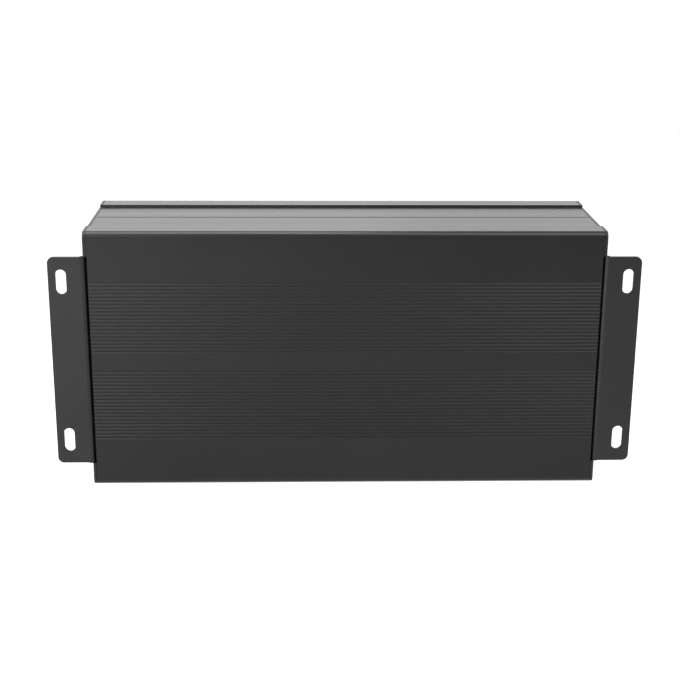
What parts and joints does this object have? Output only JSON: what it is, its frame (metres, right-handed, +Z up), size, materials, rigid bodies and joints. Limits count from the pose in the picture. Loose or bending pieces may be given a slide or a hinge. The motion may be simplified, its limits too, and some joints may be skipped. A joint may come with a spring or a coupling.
{
  "type": "aluminium project box",
  "caption": "Black anodised extruded aluminium project box: two half shells with grooved faces, board guides and a lapped seam, closed by folded end plates with slotted wall ears.",
  "frame": {"origin": "centre of the bounding box at its bottom: mid-length, mid-depth, on the plane of the two lower lips that the box stands on", "axes": "+X along the length to the right end plate, -Y out of the grooved mounting face that is flush with the ears, +Z up across the width of the section"},
  "size_m": [0.2876, 0.078, 0.1305],
  "materials": {
    "shell": "satin black anodised extrusion with fine die lines",
    "end_plate": "matt black anodised sheet",
    "screw": "black zinc plated"
  },
  "bodies": {
    "root": {"mounting_half": "shell", "cover_half": "shell", "left_end_plate": "end_plate", "right_end_plate": "end_plate", "left_end_screws": "screw", "right_end_screws": "screw"}
  },
  "joints": []
}
